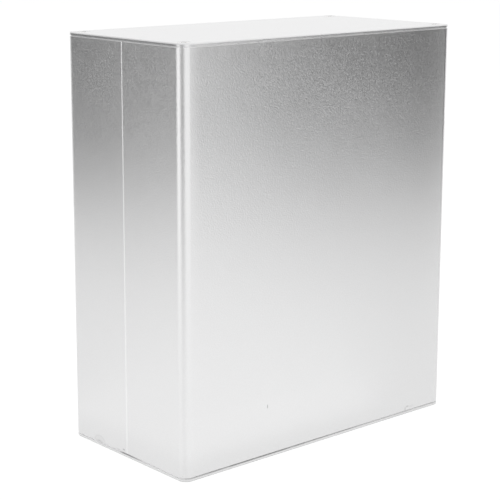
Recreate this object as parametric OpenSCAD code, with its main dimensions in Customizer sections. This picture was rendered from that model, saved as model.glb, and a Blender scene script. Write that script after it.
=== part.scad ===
// Split aluminium project box: two identical extruded shell halves that interlock
// along the middle of the narrow sides, closed by a flat plate at each end and held by
// eight countersunk screws, which cut their own thread in the extruded screw channels.
// The box stands on one end plate. Origin at the middle of its underside, +Z along
// the extrusion, X across the wide faces and Y through the box. Millimetres.

/* [Box] */
// Outside width of the wide faces
box_w = 160; // [100:1:260]
// Outside depth of the narrow faces, both shell halves together
box_d = 80; // [60:1:160]
// Length of the extruded shells, without the end plates
shell_len = 181; // [60:1:400]
// Outside radius of the four long corners
corner_r = 4; // [2.5:0.5:8]
// Thickness of the plain wall
wall = 2; // [1.6:0.1:3]
// Chamfer round the outside edge of the sawn ends
end_chamfer = 0.3; // [0.1:0.05:0.6]

/* [Seam] */
// Extra wall thickness along the seam, on the inside
seam_pad = 2.6; // [2:0.1:4]
// How far the thick edge runs back from the seam before it slopes away
seam_reach = 5; // [4:0.5:8]
// Rounding of each outside edge at the seam
seam_round = 0.35; // [0.15:0.05:0.5]
// Thickness of the tongue
tongue_t = 1.4; // [1:0.1:1.8]
// How far the tongue stands out past the seam
tongue_h = 2; // [1:0.1:3]
// Chamfer of the tongue's tip
tongue_chamfer = 0.25; // [0.1:0.05:0.4]
// Clearance between the tongue and its groove
tongue_gap = 0.1; // [0.05:0.05:0.3]

/* [Board slots] */
// Width of a slot for a circuit board
slot_w = 2; // [1.6:0.1:2.6]
// Depth of a slot, from the rails' tips to the wall
slot_depth = 2.5; // [1.5:0.1:4]
// Thickness of the rails on both sides of a slot
rail_t = 1.2; // [0.8:0.1:2]
// Distance from one slot to the next
slot_pitch = 8; // [6:0.5:16]
// Distance from the screw channel to the middle of the nearest slot
slot_start = 4; // [3:0.1:8]

/* [Screw channels] */
// Distance of each screw from both outside faces
screw_inset = 5.5; // [5:0.1:7]
// Bore of the channel that the screw cuts its thread in
channel_d = 2.7; // [2.4:0.1:2.8]
// How deep the metal round the bore sinks into the walls
channel_root = 0.3; // [0.1:0.05:0.6]
// Width of the slit that opens the channel to the inside
channel_slit = 1; // [0.6:0.1:1.6]

/* [End plates] */
// Thickness of the end plates
plate_t = 1.5; // [1.5:0.1:4]
// Chamfer of the plates' edges, on both faces
plate_chamfer = 0.3; // [0.1:0.05:0.5]

/* [Screws] */
// Outside diameter of the thread
screw_d = 3; // [2.9:0.05:3.1]
// Play of the screw in the plate's hole, on the diameter
hole_play = 0.2; // [0.1:0.05:0.5]
// Overall length, head included
screw_len = 8; // [5:1:16]
// Diameter of the countersunk head
head_d = 5.5; // [5:0.1:5.6]
// Height of the head's straight rim
head_rim = 0.1; // [0.05:0.01:0.15]
// How far the head lies below the plate's face
head_sink = 0.05; // [0.02:0.01:0.1]
// Play round the head's rim, on the radius
head_play = 0.1; // [0.05:0.05:0.2]
// Span of the cross recess, tip to tip
recess_span = 3; // [2.2:0.1:3.2]
// Width of the cross recess's wings
recess_wing = 0.7; // [0.5:0.05:0.9]
// Depth of the cross recess
recess_depth = 1.2; // [0.8:0.1:1.6]

/* [Hidden] */
$fn = 64;
// Length that carries a cut past a face
over = 1;
half_w = box_w / 2;
half_d = box_d / 2;
box_h = shell_len + 2 * plate_t;
inner_r = max(corner_r - wall, 0.4);
land_t = wall + seam_pad;
channel_r = channel_d / 2;
boss_r = screw_inset - wall + channel_root;
thread_r = screw_d / 2;
hole_r = thread_r + hole_play / 2;
head_r = head_d / 2;
// The head's flank slopes at 45 degrees down to the thread.
head_h = head_rim + head_r - thread_r;
screw_tip = channel_r / 3;
// Signs of the four corners, anticlockwise from the front left as seen from above
corners = [[-1, -1], [1, -1], [1, 1], [-1, 1]];
// Middles of one half's board slots, measured from the outside of its wide face
first_slot = screw_inset + boss_r + slot_start;
last_slot = half_d - seam_reach - seam_pad - rail_t - slot_w / 2;
slots = [for (y = first_slot; y <= last_slot; y = y + slot_pitch) y];

// Rectangle with round corners, centred on the origin
module rounded_rectangle(w, d, r) {
    square([w - 2 * r, d], center = true);
    square([w, d - 2 * r], center = true);
    for (c = corners)
        translate([c[0] * (w / 2 - r), c[1] * (d / 2 - r)])
            circle(r = r);
}

// Section from the middle of a slab out to its edge, which is chamfered on both faces
module slab_section(reach, h, chamfer) {
    polygon([
        [0, 0], [reach - chamfer, 0], [reach, chamfer],
        [reach, h - chamfer], [reach - chamfer, h], [0, h]
    ]);
}

// Slab along Y with chamfered long edges
module slab(reach, length, h, chamfer) {
    for (turn = [0, 180])
        rotate([0, 0, turn])
            translate([0, length / 2, 0])
                rotate([90, 0, 0])
                    linear_extrude(length)
                        slab_section(reach, h, chamfer);
}

// The box's outline as a block of the given height, chamfered all round on both faces
module bevelled_block(h, chamfer) {
    slab(half_w, box_d - 2 * corner_r, h, chamfer);
    rotate([0, 0, 90])
        slab(half_d, box_w - 2 * corner_r, h, chamfer);
    for (c = corners)
        translate([c[0] * (half_w - corner_r), c[1] * (half_d - corner_r), 0])
            rotate_extrude()
                slab_section(corner_r, h, chamfer);
}

// Everything inside the outside face of the front half, which meets the other at y = 0
module half_outline() {
    intersection() {
        rounded_rectangle(box_w, box_d, corner_r);
        translate([-half_w, -half_d])
            square([box_w, half_d]);
    }
}

// Thick edge along the seam on the left side, sloping back into the wall
module seam_land() {
    polygon([
        [-half_w, 0], [-half_w + land_t, 0], [-half_w + land_t, -seam_reach],
        [-half_w, -seam_reach - land_t]
    ]);
}

// Rail with a round tip, from the left wall's outside face inwards
module rail() {
    tip = wall + slot_depth - rail_t / 2;
    translate([0, -rail_t / 2])
        square([tip, rail_t]);
    translate([tip, 0])
        circle(d = rail_t);
}

// Pair of rails for each board slot on the left side
module board_rails() {
    for (y = slots, side = [-1, 1])
        translate([-half_w, y - half_d + side * (slot_w + rail_t) / 2])
            rail();
}

// Metal round the screw channel in the left corner
module channel_boss() {
    translate([-half_w, -half_d])
        square(screw_inset);
    translate([screw_inset - half_w, screw_inset - half_d])
        circle(r = boss_r);
}

// Bore of the screw channel in the left corner, with the slit that opens it
module channel_bore() {
    translate([screw_inset - half_w, screw_inset - half_d]) {
        circle(r = channel_r);
        rotate(45)
            translate([0, -channel_slit / 2])
                square([boss_r + over, channel_slit]);
    }
}

// Hollow of the front half, past the seam so that it opens there
module hollow() {
    difference() {
        rounded_rectangle(box_w - 2 * wall, box_d - 2 * wall, inner_r);
        for (flip = [0, 1])
            mirror([flip, 0]) {
                seam_land();
                board_rails();
                channel_boss();
            }
    }
}

// Tongue on the left side, from the given depth below the seam to its tip, and with
// play all round, the space that takes it
module tongue(root, play = 0) {
    reach = tongue_t / 2 + play;
    tip = tongue_h + play;
    translate([-half_w + land_t / 2, 0])
        polygon([
            [-reach, -root], [reach, -root], [reach, tip - tongue_chamfer],
            [reach - tongue_chamfer, tip], [tongue_chamfer - reach, tip],
            [-reach, tip - tongue_chamfer]
        ]);
}

// What the roundings take off the outside edge on the left of the seam
module seam_edge() {
    difference() {
        translate([-half_w - over, -seam_round])
            square([over + seam_round, seam_round + over]);
        translate([seam_round - half_w, -seam_round])
            circle(r = seam_round);
    }
}

// Section of one shell half
module shell_profile() {
    difference() {
        union() {
            difference() {
                half_outline();
                hollow();
            }
            tongue(tongue_h);
        }
        rotate(180)
            tongue(over, tongue_gap);
        for (flip = [0, 1])
            mirror([flip, 0]) {
                seam_edge();
                channel_bore();
            }
    }
}

// One extruded half, chamfered round the outside of its sawn ends
module shell_half() {
    intersection() {
        linear_extrude(shell_len)
            shell_profile();
        bevelled_block(shell_len, end_chamfer);
    }
}

module front_shell() {
    color("silver")
        translate([0, 0, plate_t])
            shell_half();
}

module rear_shell() {
    color("silver")
        translate([0, 0, plate_t])
            rotate([0, 0, 180])
                shell_half();
}

// Hole and countersink for a screw whose axis is Z, in a plate with its outside at z = 0
module screw_hole() {
    mouth_r = head_r + head_play;
    mouth_z = head_play - head_sink - head_rim;
    cone_h = mouth_r - hole_r;
    translate([0, 0, -plate_t - over])
        cylinder(h = plate_t + over, r = hole_r);
    translate([0, 0, mouth_z - cone_h])
        cylinder(h = cone_h, r1 = hole_r, r2 = mouth_r);
    translate([0, 0, mouth_z])
        cylinder(h = over, r = mouth_r);
}

// Plate with its outside face at z = 0 and its thickness below
module end_plate() {
    difference() {
        translate([0, 0, -plate_t])
            bevelled_block(plate_t, plate_chamfer);
        for (c = corners)
            translate([c[0] * (half_w - screw_inset), c[1] * (half_d - screw_inset), 0])
                screw_hole();
    }
}

module top_end_plate() {
    color("gainsboro")
        translate([0, 0, box_h])
            end_plate();
}

module bottom_end_plate() {
    color("gainsboro")
        rotate([180, 0, 0])
            end_plate();
}

// Cross recess with its mouth at z = 0, its wings tapering inwards with depth
module cross_recess() {
    intersection() {
        for (turn = [0, 90])
            rotate([0, 0, turn])
                translate([-recess_span, -recess_wing / 2, -recess_depth])
                    cube([2 * recess_span, recess_wing, recess_depth + over]);
        rotate_extrude()
            polygon([
                [0, -recess_depth], [recess_span / 4, -recess_depth],
                [recess_span / 2, 0], [recess_span / 2, over], [0, over]
            ]);
    }
}

// Countersunk screw without its thread, the top of its head at z = 0 and its tip below
module screw() {
    difference() {
        rotate_extrude()
            polygon([
                [0, -screw_len], [channel_r - screw_tip, -screw_len],
                [channel_r, screw_tip - screw_len], [channel_r, -head_h],
                [thread_r, -head_h], [head_r, -head_rim], [head_r, 0], [0, 0]
            ]);
        cross_recess();
    }
}

// Screw number i of a plate whose outside face is at z = 0
module seated_screw(i) {
    color("darkgray")
        translate([
            corners[i][0] * (half_w - screw_inset),
            corners[i][1] * (half_d - screw_inset),
            -head_sink
        ])
            screw();
}

module top_screw(i) {
    translate([0, 0, box_h])
        seated_screw(i);
}

module bottom_screw(i) {
    rotate([180, 0, 0])
        seated_screw(i);
}

front_shell();
rear_shell();
top_end_plate();
bottom_end_plate();
for (i = [0:3]) {
    top_screw(i);
    bottom_screw(i);
}
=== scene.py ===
import math

import bmesh
import bpy
from mathutils import Matrix, Vector


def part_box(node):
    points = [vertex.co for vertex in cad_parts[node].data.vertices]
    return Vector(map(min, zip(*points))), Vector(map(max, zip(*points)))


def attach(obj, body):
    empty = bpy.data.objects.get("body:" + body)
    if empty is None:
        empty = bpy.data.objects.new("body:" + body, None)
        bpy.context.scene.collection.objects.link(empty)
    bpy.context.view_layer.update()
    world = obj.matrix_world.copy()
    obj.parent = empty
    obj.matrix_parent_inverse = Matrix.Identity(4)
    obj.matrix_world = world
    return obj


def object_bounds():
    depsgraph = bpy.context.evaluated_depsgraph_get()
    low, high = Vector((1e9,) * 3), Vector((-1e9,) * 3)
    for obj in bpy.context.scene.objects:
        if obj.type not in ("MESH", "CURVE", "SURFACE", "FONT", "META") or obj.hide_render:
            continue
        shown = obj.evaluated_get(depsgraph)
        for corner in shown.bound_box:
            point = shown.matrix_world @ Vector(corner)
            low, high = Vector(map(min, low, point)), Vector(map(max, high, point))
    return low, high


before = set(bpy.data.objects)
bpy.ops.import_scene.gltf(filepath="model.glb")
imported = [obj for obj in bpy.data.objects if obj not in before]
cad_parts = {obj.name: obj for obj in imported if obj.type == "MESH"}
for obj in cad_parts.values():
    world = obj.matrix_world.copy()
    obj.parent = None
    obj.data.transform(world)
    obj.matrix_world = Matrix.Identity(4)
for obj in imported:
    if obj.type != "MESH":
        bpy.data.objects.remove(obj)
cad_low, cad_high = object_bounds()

MM = 0.001
HEIGHT = cad_high.z - cad_low.z
PLATE_THICKNESS = 1.5 * MM
# The vertical corner nearest the camera, at its foot
FRONT_CORNER = Vector((cad_low.x, cad_low.y, cad_low.z))

# Camera, as fitted to the outline in the photograph. Its place is in heights of the box.
CAMERA_PLACE = Vector((-1.9962, -2.4782, 1.2792))
CAMERA_AZIMUTH = math.radians(40.707)
CAMERA_PITCH = math.radians(11.914)
CAMERA_ROLL = math.radians(0.029)
CAMERA_FOCAL = 1480.9
CAMERA_SHIFT = (0.04, -0.054)
CAMERA_CLIP = (0.01, 50.0)
PHOTO_WIDTH = 500
SENSOR_WIDTH = 36.0

# Metals
SHELL_COLOUR = (0.81, 0.81, 0.812)
# The plates' colour is lighter than the shells': painted light in place of the overhead lamp's
# reflection on the top plate, which reflections don't see
PLATE_COLOUR_AND_SHEEN = (0.86, 0.86, 0.862)
SCREW_COLOUR = (0.78, 0.775, 0.765)
SHELL_ROUGHNESS = 0.345
PLATE_ROUGHNESS = 0.33
SCREW_ROUGHNESS = 0.22

# Blasted grain of the aluminium: grains in a metre, depth, the part of the noise that makes the
# pits, how far it moves the roughness down and up, and how pale it leaves the pits
GRAIN_SCALE = 1600
GRAIN_TURN = (0.5, 0.35, 0.8)
GRAIN_DEPTH = 0.054 * MM
GRAIN_RANGE = (0.25, 0.75)
GRAIN_POWER = 1.7
GRAIN_SMOOTH = 0.046
GRAIN_ROUGH = 0.076
GRAIN_PALE = 0.965
# Its faint cloudiness: clouds in a metre, and how far they move the colour and the roughness
CLOUD_SCALE = 22
CLOUD_RANGE = (0.3, 0.7)
CLOUD_PALE = 0.985
CLOUD_ROUGH = 0.012

# Specks and patches of the screws' plating
SPECK_SCALE = 2600
SPECK_RANGE = (0.25, 0.7)
SPECK_PALE = 0.9
SPECK_DEPTH = 0.01 * MM
SPECK_STRENGTH = 0.6
PATCH_SCALE = 500
PATCH_RANGE = (0.3, 0.7)
PATCH_SMOOTH = 0.05
PATCH_ROUGH = 0.07

# Small marks low on the wide front face and the left narrow side, in millimetres: middle along the
# face and above the floor, half length along and upwards, and how dark
WIDE_MARKS = [
    (-33.3, 23.7, 0.25, 1.1, 0.55),
    (56.7, 3.6, 1.1, 0.55, 0.2),
    (55.4, 2.5, 0.7, 1.3, 0.17),
    (59.3, 3.3, 2.6, 0.8, 0.05),
]
NARROW_MARKS = [
    (2.5, 3.1, 1.1, 0.5, 0.3),
    (6.4, 2.2, 1.6, 0.35, 0.14),
    (20.5, 2.8, 4.8, 2.2, 0.05),
    (20.9, 2.1, 1.1, 0.4, 0.16),
    (-38.0, 2.4, 0.5, 0.3, 0.08),
]
# Share of a mark's half length that is fully dark
MARK_CORE = 0.4
# Two faint dark rings at the foot of the narrow side, in millimetres: middle, radii, half width, and
# how dark
RING_MARK_MIDDLE = (20.5, 0.4)
RING_MARK_RADII = (2.3, 4.3)
RING_MARK_HALF = 0.5
RING_MARK_DARK = 0.07
# How far behind its face a mark still shows in full, and where it is gone
SKIN_FULL = 0.6 * MM
SKIN_GONE = 1.6 * MM

# Painted highlights on the shells' edges: half width along the seam and depth under the top plate,
# each with the share of it where the highlight starts to fade, and how much lighter it is
SEAM_HALF = 0.55 * MM
SEAM_CORE = 0.6
RIM_TOP = cad_high.z - PLATE_THICKNESS
RIM_DEPTH = 0.45 * MM
RIM_CORE = 0.7
EDGE_HIGHLIGHT = 1.12

# Cut edges of the end plates, against their faces: how light on the bottom plate, how light on the
# top plate's narrow sides, which is painted shade, how much rougher on its wide sides, and the
# heights between which the bottom plate's values give way to the top plate's
BOTTOM_CUT = 0.87
NARROW_CUT_SHADE = 0.8
WIDE_CUT_ROUGH = 0.045
BETWEEN_PLATES = (0.4 * HEIGHT, 0.6 * HEIGHT)
# Upward part of the normal between a cut edge and a face, and between a wall and a bevel
CUT_TURN = (0.75, 0.95)
WALL_TURN = (0.1, 0.3)
# Depth to which the cut edges are tumbled round, and the share of it that is fully turned
TUMBLED_DEPTH = 0.62 * MM
TUMBLED_CORE = 0.5

# The wide face of a shell leans a little to one side near both its ends: side of the middle, where
# the lean starts, and its slope where it ends
LEANS = [(-1.0, 69 * MM, 0.05), (1.0, 56 * MM, 0.1)]
LEAN_END = 76 * MM
LEAN_RETURN = 1.5 * MM
LEAN_FADE = (1.2 * MM, 0.6 * MM)

# Joint between the shells and the bottom plate: its height, half height, the share of that in full,
# how dark the painted shadow of an open gap is, and how much its edges are lit by painted light and
# made rougher where it is tight
FOOT_JOINT = cad_low.z + PLATE_THICKNESS
FOOT_HALF = 0.4 * MM
FOOT_CORE = 0.75
FOOT_GAP_SHADOW = 0.39
FOOT_TIGHT_LIGHT = 1.15
FOOT_ROUGH = 0.45
# Where the gap opens and closes along the wide face, with its share at the outer ends
WIDE_GAP_OPENS = (-78 * MM, -55 * MM)
WIDE_GAP_FIRST = 0.35
WIDE_GAP_CLOSES = (-30 * MM, 28 * MM)
WIDE_GAP_LAST = 0.1
WIDE_SHUT = (18 * MM, 35 * MM)
WIDE_SHUT_MOST = 0.3
# How uneven the gap is: changes in a metre, the part of the noise that counts, its smallest share
GAP_SCALE = 160
GAP_RANGE = (0.35, 0.6)
GAP_LEAST = 0.55
# Where the gap opens and closes along the narrow side, beside the seam
SEAM_GAP_OPENS = (-11.5 * MM, -1.5 * MM)
SEAM_GAP_CLOSES = (3 * MM, 6 * MM)

# Studio floor
FLOOR_SIZE = 16.0
FLOOR_DROP = 0.02 * MM
FLOOR_COLOUR = (0.8, 0.8, 0.8, 1)
FLOOR_GLOW = 1.19
FLOOR_GLOW_SHARE = 0.75
# White floor, dim ground past it, and the shade close round the box, all seen in reflections alone.
# Each has its own height, so that none lies in another.
WHITE_FLOOR_RADIUS = 0.715
DARK_FLOOR_RADIUS = 7.0
DARK_LEVEL = 0.1
DARK_HEIGHT = 1.0 * MM
PATCH_HEIGHT = 0.6 * MM
CONTACT_MARGIN = 18 * MM
CONTACT_LEVEL = 0.98
CONTACT_HEIGHT = 0.8 * MM
# Start and end angle of each patch of the white floor, and its level. Angles run from the front,
# -Y, towards +X.
FLOOR_PATCHES = [(-60, 42, 1.09), (42, 80, 0.99), (80, 235, 1.0), (235, 300, 1.07)]
# Start and end angle of each upright card round the box, its level, and how far out it stands
CARDS = [
    (-37.8, 30.5, 1.05, 0.657), (30.5, 74, 0.037, 0.705), (74, 106, 1.1, 0.657),
    (160, 206, 0.85, 0.657), (206, 239.5, 0.12, 0.657), (239.5, 282.6, 1.22, 0.657),
    (282.6, 322.2, 0.29, 0.657),
]
CARD_HEIGHT = 0.33
RING_STEPS = 96
ARC_STEPS = 24

# Studio light
WORLD_LIGHT = 0.55
LAMP_SIZE = 2.6
LAMP_POWER = 14.0
LAMP_PLACE = (0.0, 0.1, 1.7)

# Screw thread, measured from the face of the head
THREAD_RADIUS = 1.5 * MM
CORE_RADIUS = 1.35 * MM
THREAD_PITCH = 0.5 * MM
THREAD_START = 1.45 * MM
THREAD_END = 7.5 * MM
THREAD_STEPS = 24
THREAD_HALF = 0.42 * THREAD_PITCH
THREAD_CREST = 0.15
THREAD_SINK = 0.03 * MM


def empty_tree(material):
    material.use_nodes = True
    tree = material.node_tree
    tree.nodes.clear()
    return tree


def node(tree, kind, **values):
    made = tree.nodes.new(kind)
    for name, value in values.items():
        setattr(made, name, value)
    return made


def math_node(tree, operation, first, second=None):
    made = node(tree, "ShaderNodeMath", operation=operation)
    for socket, value in zip(made.inputs, (first, second)):
        if value is None:
            continue
        if isinstance(value, (int, float)):
            socket.default_value = value
        else:
            tree.links.new(value, socket)
    return made.outputs[0]


def product(tree, first, *others):
    for other in others:
        first = math_node(tree, "MULTIPLY", first, other)
    return first


def distance(tree, value, place):
    return math_node(tree, "ABSOLUTE", math_node(tree, "SUBTRACT", value, place))


def noise(tree, place, scale, detail=2.0, roughness=0.5, turn=(0, 0, 0)):
    """Noise of about 1 / scale metres, from 0 to 1."""
    mapping = node(tree, "ShaderNodeMapping")
    mapping.inputs["Rotation"].default_value = turn
    tree.links.new(place, mapping.inputs["Vector"])
    made = node(tree, "ShaderNodeTexNoise")
    made.inputs["Scale"].default_value = scale
    made.inputs["Detail"].default_value = detail
    made.inputs["Roughness"].default_value = roughness
    tree.links.new(mapping.outputs[0], made.inputs["Vector"])
    return made.outputs["Fac"]


def ramp(tree, value, low, high, out_low=0.0, out_high=1.0):
    """Goes from out_low to out_high while the value goes from low to high, and stays there."""
    made = node(tree, "ShaderNodeMapRange", clamp=True)
    made.inputs["From Min"].default_value = low
    made.inputs["From Max"].default_value = high
    made.inputs["To Min"].default_value = out_low
    made.inputs["To Max"].default_value = out_high
    tree.links.new(value, made.inputs["Value"])
    return made.outputs[0]


def shaded(tree, shade, mask, level):
    """The shade, times the level where the mask is 1."""
    return product(tree, shade, ramp(tree, mask, 0.0, 1.0, 1.0, level))


def tinted(tree, colour, factor):
    """The colour times a factor that varies over the surface."""
    made = node(tree, "ShaderNodeMix", data_type="RGBA", blend_type="MULTIPLY")
    made.inputs["Factor"].default_value = 1.0
    colours = [socket for socket in made.inputs if socket.type == "RGBA"]
    colours[0].default_value = (*colour, 1)
    tree.links.new(factor, colours[1])
    return [socket for socket in made.outputs if socket.type == "RGBA"][0]


def near_face(tree, across, face):
    """1 on the face that stands at this place on its axis, 0 away from it."""
    return ramp(tree, across, face + SKIN_FULL, face + SKIN_GONE, 1.0, 0.0)


def smudge(tree, across, upwards, middle_across, middle_up, half_across, half_up):
    """1 in a small soft patch of a face, 0 elsewhere. The last four are in millimetres."""
    beside = distance(tree, across, middle_across * MM)
    above = distance(tree, upwards, middle_up * MM)
    narrow = ramp(tree, beside, MARK_CORE * half_across * MM, half_across * MM, 1.0, 0.0)
    low = ramp(tree, above, MARK_CORE * half_up * MM, half_up * MM, 1.0, 0.0)
    return product(tree, narrow, low)


def marked(tree, split, shade):
    """The shade, with the small marks of the two near faces in it."""
    x, y, z = split.outputs
    on_wide = near_face(tree, y, cad_low.y)
    on_narrow = near_face(tree, x, cad_low.x)
    for marks, across, here in ((WIDE_MARKS, x, on_wide), (NARROW_MARKS, y, on_narrow)):
        for *place_and_size, dark in marks:
            patch = smudge(tree, across, z, *place_and_size)
            shade = shaded(tree, shade, product(tree, patch, here), 1.0 - dark)
    beside = math_node(tree, "SUBTRACT", y, RING_MARK_MIDDLE[0] * MM)
    above = math_node(tree, "SUBTRACT", z, RING_MARK_MIDDLE[1] * MM)
    squares = [math_node(tree, "POWER", length, 2.0) for length in (beside, above)]
    away = math_node(tree, "SQRT", math_node(tree, "ADD", *squares))
    for radius in RING_MARK_RADII:
        off = distance(tree, away, radius * MM)
        ring = product(tree, ramp(tree, off, 0.0, RING_MARK_HALF * MM, 1.0, 0.0), on_narrow)
        shade = shaded(tree, shade, ring, 1.0 - RING_MARK_DARK)
    return shade


def painted_edge_highlights(tree, split):
    """1 where highlights are painted on the shells' edges along the seam and under the top plate, 0
    elsewhere.
    """
    away = math_node(tree, "ABSOLUTE", split.outputs["Y"])
    seam = ramp(tree, away, SEAM_CORE * SEAM_HALF, SEAM_HALF, 1.0, 0.0)
    rim_full = RIM_TOP - RIM_CORE * RIM_DEPTH
    rim = ramp(tree, split.outputs["Z"], RIM_TOP - RIM_DEPTH, rim_full)
    return math_node(tree, "MAXIMUM", seam, rim)


def foot_masks(tree, place, split):
    """Where the joint at the foot stands open and takes a painted shadow, and where it is tight and
    takes painted light, each from 0 to 1.
    """
    x, y, z = split.outputs
    band = ramp(tree, distance(tree, z, FOOT_JOINT), FOOT_CORE * FOOT_HALF, FOOT_HALF, 1.0, 0.0)
    on_wide = near_face(tree, y, cad_low.y)
    on_narrow = near_face(tree, x, cad_low.x)
    opens = ramp(tree, x, *WIDE_GAP_OPENS, WIDE_GAP_FIRST, 1.0)
    closes = ramp(tree, x, *WIDE_GAP_CLOSES, 1.0, WIDE_GAP_LAST)
    uneven = ramp(tree, noise(tree, place, GAP_SCALE), *GAP_RANGE, GAP_LEAST, 1.0)
    wide = product(tree, opens, closes, uneven, on_wide)
    to_front = ramp(tree, y, *SEAM_GAP_OPENS)
    to_rear = ramp(tree, y, *SEAM_GAP_CLOSES, 1.0, 0.0)
    by_seam = product(tree, to_front, to_rear)
    narrow = product(tree, by_seam, on_narrow)
    gap = product(tree, band, math_node(tree, "MAXIMUM", wide, narrow))
    tight = product(tree, on_narrow, math_node(tree, "SUBTRACT", 1.0, by_seam))
    far_end = product(tree, on_wide, ramp(tree, x, *WIDE_SHUT, 0.0, WIDE_SHUT_MOST))
    shut = product(tree, band, math_node(tree, "MAXIMUM", tight, far_end))
    return gap, shut


def leaning(tree, axis, lean):
    """The surface's own normal plus a lean along one axis, made unit length."""
    turned = node(tree, "ShaderNodeCombineXYZ")
    tree.links.new(lean, turned.inputs[axis])
    added = node(tree, "ShaderNodeVectorMath", operation="ADD")
    tree.links.new(node(tree, "ShaderNodeNewGeometry").outputs["Normal"], added.inputs[0])
    tree.links.new(turned.outputs[0], added.inputs[1])
    unit = node(tree, "ShaderNodeVectorMath", operation="NORMALIZE")
    tree.links.new(added.outputs[0], unit.inputs[0])
    return unit.outputs[0]


def shell_normal(tree, split):
    """The shells' normal, which leans near the ends of the wide faces. They are turned copies."""
    x, y, z = split.outputs
    side = math_node(tree, "SIGN", y)
    along = product(tree, x, side, -1.0)
    fade_start, fade_end = (cad_high.y - depth for depth in LEAN_FADE)
    outside = ramp(tree, math_node(tree, "ABSOLUTE", y), fade_start, fade_end)
    total = 0.0
    for end, start, slope in LEANS:
        out = product(tree, along, end)
        root = ramp(tree, out, start, LEAN_END, 0.0, math.sqrt(slope))
        before_end = ramp(tree, out, LEAN_END, LEAN_END + LEAN_RETURN, 1.0, 0.0)
        rise = product(tree, math_node(tree, "POWER", root, 2.0), before_end)
        total = math_node(tree, "ADD", rise, total)
    return leaning(tree, "X", product(tree, total, outside, side))


def plate_normal(tree, split, flat):
    """The plates' normal, turned outwards along the outer rim of their cut edges."""
    core = TUMBLED_CORE * TUMBLED_DEPTH
    z = split.outputs["Z"]
    top = ramp(tree, z, cad_high.z - TUMBLED_DEPTH, cad_high.z - core)
    foot = ramp(tree, z, cad_low.z + core, cad_low.z + TUMBLED_DEPTH, -1.0, 0.0)
    upright = ramp(tree, flat, *WALL_TURN, 1.0, 0.0)
    return leaning(tree, "Z", product(tree, math_node(tree, "ADD", top, foot), upright))


def metal(name):
    """A new metal material, with its tree, its shader, and its place on the object."""
    material = bpy.data.materials.new(name)
    tree = empty_tree(material)
    shader = node(tree, "ShaderNodeBsdfPrincipled")
    shader.inputs["Metallic"].default_value = 1.0
    out = node(tree, "ShaderNodeOutputMaterial")
    tree.links.new(shader.outputs[0], out.inputs[0])
    return material, tree, shader, node(tree, "ShaderNodeTexCoord").outputs["Object"]


def add_bump(tree, shader, height, depth, strength=1.0, normal=None):
    bump = node(tree, "ShaderNodeBump")
    bump.inputs["Strength"].default_value = strength
    bump.inputs["Distance"].default_value = depth
    tree.links.new(height, bump.inputs["Height"])
    if normal is not None:
        tree.links.new(normal, bump.inputs["Normal"])
    tree.links.new(bump.outputs[0], shader.inputs["Normal"])


def blasted_aluminium(name, colour, roughness, is_shell):
    """Bead-blasted, clear-anodised aluminium: fine dimples, faint cloudiness."""
    material, tree, shader, place = metal(name)
    split = node(tree, "ShaderNodeSeparateXYZ")
    tree.links.new(place, split.inputs[0])

    grain = noise(tree, place, GRAIN_SCALE, detail=1.0, roughness=0.6, turn=GRAIN_TURN)
    pits = math_node(tree, "POWER", ramp(tree, grain, *GRAIN_RANGE), GRAIN_POWER)
    clouds = noise(tree, place, CLOUD_SCALE, detail=3.0)
    pale_pits = ramp(tree, pits, 0.0, 1.0, GRAIN_PALE, 1.0)
    shade = product(tree, pale_pits, ramp(tree, clouds, *CLOUD_RANGE, CLOUD_PALE, 1.0))
    matt = ramp(tree, pits, 0.0, 1.0, roughness - GRAIN_SMOOTH, roughness + GRAIN_ROUGH)
    cloudy = ramp(tree, clouds, *CLOUD_RANGE, -CLOUD_ROUGH, CLOUD_ROUGH)
    matt = math_node(tree, "ADD", matt, cloudy)

    gap, shut = foot_masks(tree, place, split)
    # Painted shadow in the open joint at the foot
    shade = shaded(tree, shade, gap, 1.0 - FOOT_GAP_SHADOW)
    # Painted light on the edges of the tight joint, which are also made rougher
    shade = shaded(tree, shade, shut, FOOT_TIGHT_LIGHT)
    matt = math_node(tree, "ADD", matt, product(tree, shut, FOOT_ROUGH))
    if is_shell:
        shade = marked(tree, split, shade)
        # Painted highlights along the seam and under the top plate
        shade = shaded(tree, shade, painted_edge_highlights(tree, split), EDGE_HIGHLIGHT)
        normal = shell_normal(tree, split)
    else:
        facing = node(tree, "ShaderNodeSeparateXYZ")
        true_normal = node(tree, "ShaderNodeNewGeometry").outputs["True Normal"]
        tree.links.new(true_normal, facing.inputs[0])
        to_side, to_front, flat = (math_node(tree, "ABSOLUTE", part) for part in facing.outputs)
        on_cut = ramp(tree, flat, *CUT_TURN, 1.0, 0.0)
        on_top = product(tree, on_cut, ramp(tree, split.outputs["Z"], *BETWEEN_PLATES))
        on_bottom = math_node(tree, "SUBTRACT", on_cut, on_top)
        shade = shaded(tree, shade, on_bottom, BOTTOM_CUT)
        # Painted shade: the top plate's cut edge is darker on its narrow sides
        shade = shaded(tree, shade, product(tree, on_top, to_side), NARROW_CUT_SHADE)
        matt = math_node(tree, "ADD", matt, product(tree, on_top, to_front, WIDE_CUT_ROUGH))
        normal = plate_normal(tree, split, flat)

    tree.links.new(tinted(tree, colour, shade), shader.inputs["Base Color"])
    tree.links.new(matt, shader.inputs["Roughness"])
    add_bump(tree, shader, grain, GRAIN_DEPTH, normal=normal)
    return material


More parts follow.
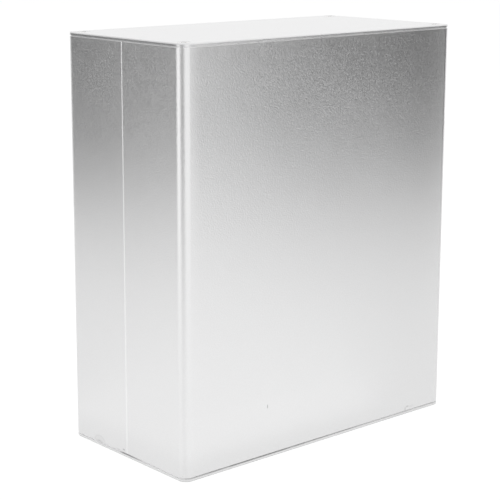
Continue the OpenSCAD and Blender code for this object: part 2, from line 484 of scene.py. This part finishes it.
def plated_steel(name, colour, roughness):
    """Bright nickel plating with fine specks and uneven patches."""
    material, tree, shader, place = metal(name)
    specks = noise(tree, place, SPECK_SCALE, detail=3.0, roughness=0.65)
    patches = noise(tree, place, PATCH_SCALE)
    shade = ramp(tree, specks, *SPECK_RANGE, SPECK_PALE, 1.0)
    matt = ramp(tree, patches, *PATCH_RANGE, roughness - PATCH_SMOOTH, roughness + PATCH_ROUGH)
    tree.links.new(tinted(tree, colour, shade), shader.inputs["Base Color"])
    tree.links.new(matt, shader.inputs["Roughness"])
    add_bump(tree, shader, specks, SPECK_DEPTH, strength=SPECK_STRENGTH)
    return material


def give(obj, material):
    obj.data.materials.clear()
    obj.data.materials.append(material)
    for polygon in obj.data.polygons:
        polygon.material_index = 0


def mesh_object(name, verts, faces):
    mesh = bpy.data.meshes.new(name)
    mesh.from_pydata(verts, [], faces)
    mesh.update()
    made = bpy.data.objects.new(name, mesh)
    bpy.context.scene.collection.objects.link(made)
    return made


def screw_thread(name, axis_x, axis_y, head_z, down):
    """The ridge of a screw's thread, wound round its core. down is -1 for a tip that points down."""
    turns = (THREAD_END - THREAD_START) / THREAD_PITCH
    rings = int(turns * THREAD_STEPS)
    root = CORE_RADIUS - THREAD_SINK
    verts = []
    for i in range(rings + 1):
        angle = 2 * math.pi * i / THREAD_STEPS
        travel = THREAD_START + (THREAD_END - THREAD_START) * i / rings
        # The ridge rises out of the core over its first turn and sinks back over its last
        ends = min(1.0, i / THREAD_STEPS, (rings - i) / THREAD_STEPS)
        crest = CORE_RADIUS + (THREAD_RADIUS - CORE_RADIUS) * ends
        profile = [(root, -1), (crest, -THREAD_CREST), (crest, THREAD_CREST), (root, 1)]
        for radius, along in profile:
            verts.append((
                axis_x + radius * math.cos(angle),
                axis_y + radius * math.sin(angle) * -down,
                head_z + down * (travel + along * THREAD_HALF),
            ))
    corners = 4
    faces = []
    for i in range(rings):
        here = corners * i
        ahead = here + corners
        for k in range(corners):
            n = (k + 1) % corners
            faces.append((here + k, here + n, ahead + n, ahead + k))
    last = corners * rings
    faces.append((0, 3, 2, 1))
    faces.append((last, last + 1, last + 2, last + 3))
    ridge = mesh_object(name, verts, faces)
    cleaner = bmesh.new()
    cleaner.from_mesh(ridge.data)
    bmesh.ops.recalc_face_normals(cleaner, faces=cleaner.faces)
    cleaner.to_mesh(ridge.data)
    cleaner.free()
    return ridge


def dress_object():
    shell = blasted_aluminium("shell_metal", SHELL_COLOUR, SHELL_ROUGHNESS, is_shell=True)
    plate = blasted_aluminium("plate_metal", PLATE_COLOUR_AND_SHEEN, PLATE_ROUGHNESS, is_shell=False)
    steel = plated_steel("screw_metal", SCREW_COLOUR, SCREW_ROUGHNESS)
    for name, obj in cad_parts.items():
        if "screw" in name:
            give(obj, steel)
            low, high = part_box(name)
            middle = (low + high) / 2
            down = -1 if name.startswith("top") else 1
            head_z = high.z if down < 0 else low.z
            ridge = screw_thread(name + "_thread", middle.x, middle.y, head_z, down)
            give(ridge, steel)
            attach(ridge, "root")
        elif "plate" in name:
            give(obj, plate)
        else:
            give(obj, shell)


def white_seen(tree):
    """1 for camera, glossy and transmission rays, 0 for the rest."""
    path = node(tree, "ShaderNodeLightPath")
    seen = math_node(tree, "MAXIMUM", path.outputs["Is Camera Ray"], path.outputs["Is Glossy Ray"])
    return math_node(tree, "MAXIMUM", seen, path.outputs["Is Transmission Ray"])


def rectangle(half_x, half_y, z):
    return [(-half_x, -half_y, z), (half_x, -half_y, z), (half_x, half_y, z), (-half_x, half_y, z)]


def glow_shader(tree, level):
    glow = node(tree, "ShaderNodeEmission")
    glow.inputs["Color"].default_value = (1, 1, 1, 1)
    glow.inputs["Strength"].default_value = level
    return glow.outputs[0]


def pale_floor():
    """White where it is seen, and matt where it takes the object's shadow."""
    verts = rectangle(FLOOR_SIZE / 2, FLOOR_SIZE / 2, -FLOOR_DROP)
    floor = mesh_object("floor", verts, [(0, 1, 2, 3)])
    material = bpy.data.materials.new("floor_white")
    tree = empty_tree(material)
    matt = node(tree, "ShaderNodeBsdfDiffuse")
    matt.inputs["Color"].default_value = FLOOR_COLOUR
    mix = node(tree, "ShaderNodeMixShader")
    tree.links.new(product(tree, white_seen(tree), FLOOR_GLOW_SHARE), mix.inputs[0])
    tree.links.new(matt.outputs[0], mix.inputs[1])
    tree.links.new(glow_shader(tree, FLOOR_GLOW), mix.inputs[2])
    out = node(tree, "ShaderNodeOutputMaterial")
    tree.links.new(mix.outputs[0], out.inputs[0])
    give(floor, material)


def reflected_piece(name, verts, faces, level):
    """A glowing piece of the studio that is seen in reflections alone."""
    piece = mesh_object(name, verts, faces)
    material = bpy.data.materials.new(name)
    tree = empty_tree(material)
    out = node(tree, "ShaderNodeOutputMaterial")
    tree.links.new(glow_shader(tree, level), out.inputs[0])
    give(piece, material)
    piece.visible_camera = False
    piece.visible_diffuse = False
    piece.visible_shadow = False
    piece.visible_transmission = False
    piece.visible_volume_scatter = False


def arc(radius, start, end):
    """Points on an arc round the box, between two angles in degrees."""
    points = []
    for i in range(ARC_STEPS + 1):
        angle = math.radians(start + (end - start) * i / ARC_STEPS)
        points.append((radius * math.sin(angle), -radius * math.cos(angle)))
    return points


def reflected_room():
    """Dim ground past the white sweep, and white cards that stand on it round the box."""
    verts = []
    for radius in (WHITE_FLOOR_RADIUS, DARK_FLOOR_RADIUS):
        for i in range(RING_STEPS):
            angle = 2 * math.pi * i / RING_STEPS
            verts.append((radius * math.cos(angle), radius * math.sin(angle), DARK_HEIGHT))
    faces = []
    for i in range(RING_STEPS):
        n = (i + 1) % RING_STEPS
        faces.append((i, n, RING_STEPS + n, RING_STEPS + i))
    reflected_piece("dim_ground", verts, faces, DARK_LEVEL)
    for number, (start, end, level) in enumerate(FLOOR_PATCHES):
        verts = [(0.0, 0.0, PATCH_HEIGHT)]
        verts += [(x, y, PATCH_HEIGHT) for x, y in arc(WHITE_FLOOR_RADIUS, start, end)]
        faces = [(0, i + 1, i + 2) for i in range(ARC_STEPS)]
        reflected_piece(f"floor_patch_{number + 1}", verts, faces, level)
    half_x = cad_high.x + CONTACT_MARGIN
    half_y = cad_high.y + CONTACT_MARGIN
    verts = rectangle(half_x, half_y, CONTACT_HEIGHT)
    reflected_piece("contact_shade", verts, [(0, 1, 2, 3)], CONTACT_LEVEL)
    for number, (start, end, level, radius) in enumerate(CARDS):
        verts = []
        for x, y in arc(radius, start, end):
            verts += [(x, y, 0.0), (x, y, CARD_HEIGHT)]
        faces = [(2 * i, 2 * i + 2, 2 * i + 3, 2 * i + 1) for i in range(ARC_STEPS)]
        reflected_piece(f"card_{number + 1}", verts, faces, level)


def world_light():
    """Plain grey light, and plain white where it is seen."""
    world = bpy.data.worlds.new("studio")
    bpy.context.scene.world = world
    tree = empty_tree(world)
    back = node(tree, "ShaderNodeBackground")
    back.inputs["Color"].default_value = (1, 1, 1, 1)
    strength = ramp(tree, white_seen(tree), 0.0, 1.0, WORLD_LIGHT, 1.0)
    tree.links.new(strength, back.inputs["Strength"])
    out = node(tree, "ShaderNodeOutputWorld")
    tree.links.new(back.outputs[0], out.inputs[0])


def overhead_lamp():
    """A soft lamp above. Reflections don't see it, because it would add to the white world."""
    data = bpy.data.lights.new("overhead", "AREA")
    data.shape = "DISK"
    data.size = LAMP_SIZE
    data.energy = LAMP_POWER
    lamp = bpy.data.objects.new("overhead", data)
    bpy.context.scene.collection.objects.link(lamp)
    lamp.location = LAMP_PLACE
    lamp.visible_glossy = False


def camera():
    level = Vector((math.cos(CAMERA_AZIMUTH), -math.sin(CAMERA_AZIMUTH), 0.0))
    ahead = Vector((math.sin(CAMERA_AZIMUTH), math.cos(CAMERA_AZIMUTH), 0.0))
    forward = ahead * math.cos(CAMERA_PITCH) - Vector((0.0, 0.0, math.sin(CAMERA_PITCH)))
    upright = level.cross(forward)
    right = level * math.cos(CAMERA_ROLL) + upright * math.sin(CAMERA_ROLL)
    up = upright * math.cos(CAMERA_ROLL) - level * math.sin(CAMERA_ROLL)
    data = bpy.data.cameras.new("camera")
    data.sensor_width = SENSOR_WIDTH
    data.lens = CAMERA_FOCAL / PHOTO_WIDTH * SENSOR_WIDTH
    data.shift_x, data.shift_y = CAMERA_SHIFT
    data.clip_start, data.clip_end = CAMERA_CLIP
    shot = bpy.data.objects.new("camera", data)
    bpy.context.scene.collection.objects.link(shot)
    place = FRONT_CORNER + CAMERA_PLACE * HEIGHT
    turn = Matrix((right, up, -forward)).transposed()
    shot.matrix_world = Matrix.Translation(place) @ turn.to_4x4()
    bpy.context.scene.camera = shot


camera()
dress_object()
pale_floor()
reflected_room()
world_light()
overhead_lamp()
bpy.context.scene.view_settings.view_transform = "Standard"
